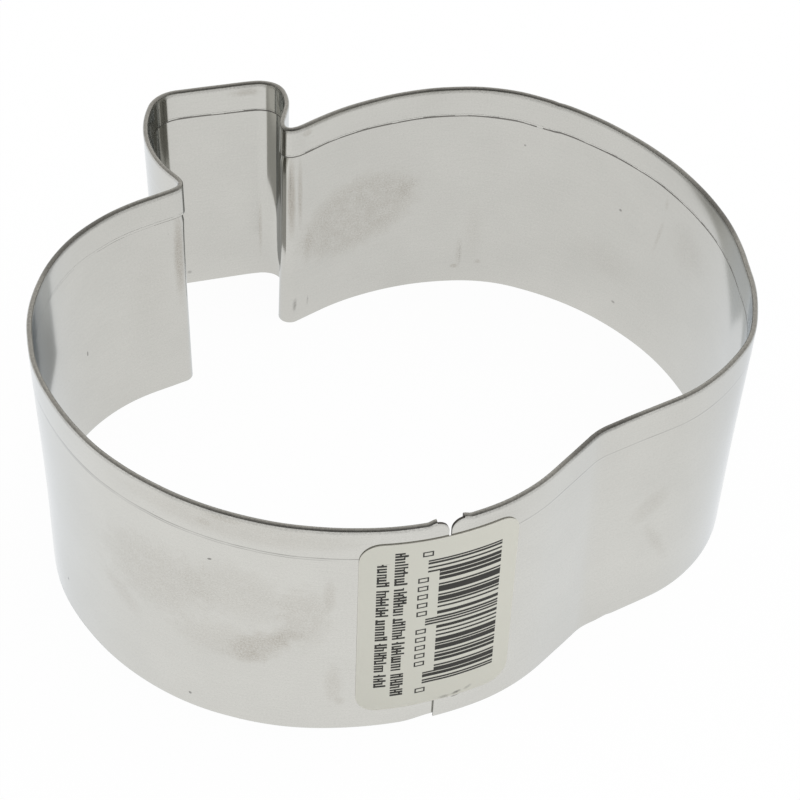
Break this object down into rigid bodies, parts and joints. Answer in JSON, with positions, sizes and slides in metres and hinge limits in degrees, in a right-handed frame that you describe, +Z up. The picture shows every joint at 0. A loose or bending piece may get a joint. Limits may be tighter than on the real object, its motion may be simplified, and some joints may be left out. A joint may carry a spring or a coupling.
{
  "type": "pumpkin cookie cutter",
  "caption": "Cookie cutter in the outline of a pumpkin with a leaning stem: one hemmed strip of tinned steel with a lapped, spot-welded joint under a paper label.",
  "frame": {"origin": "on the worktop at the plane of the cutting edge, under the middle of the whole outline", "axes": "+Z up from the cutting edge to the hem, +X to the right over the width of the lobes, +Y from the front dimple towards the stem"},
  "size_m": [0.0688, 0.0657, 0.0256],
  "materials": {
    "tinned_steel": "bright tinned steel, lightly brushed, with faint smudges",
    "label_paper": "off-white coated paper with plain black bars"
  },
  "bodies": {
    "root": {"band": "tinned_steel", "label": "label_paper"}
  },
  "joints": []
}
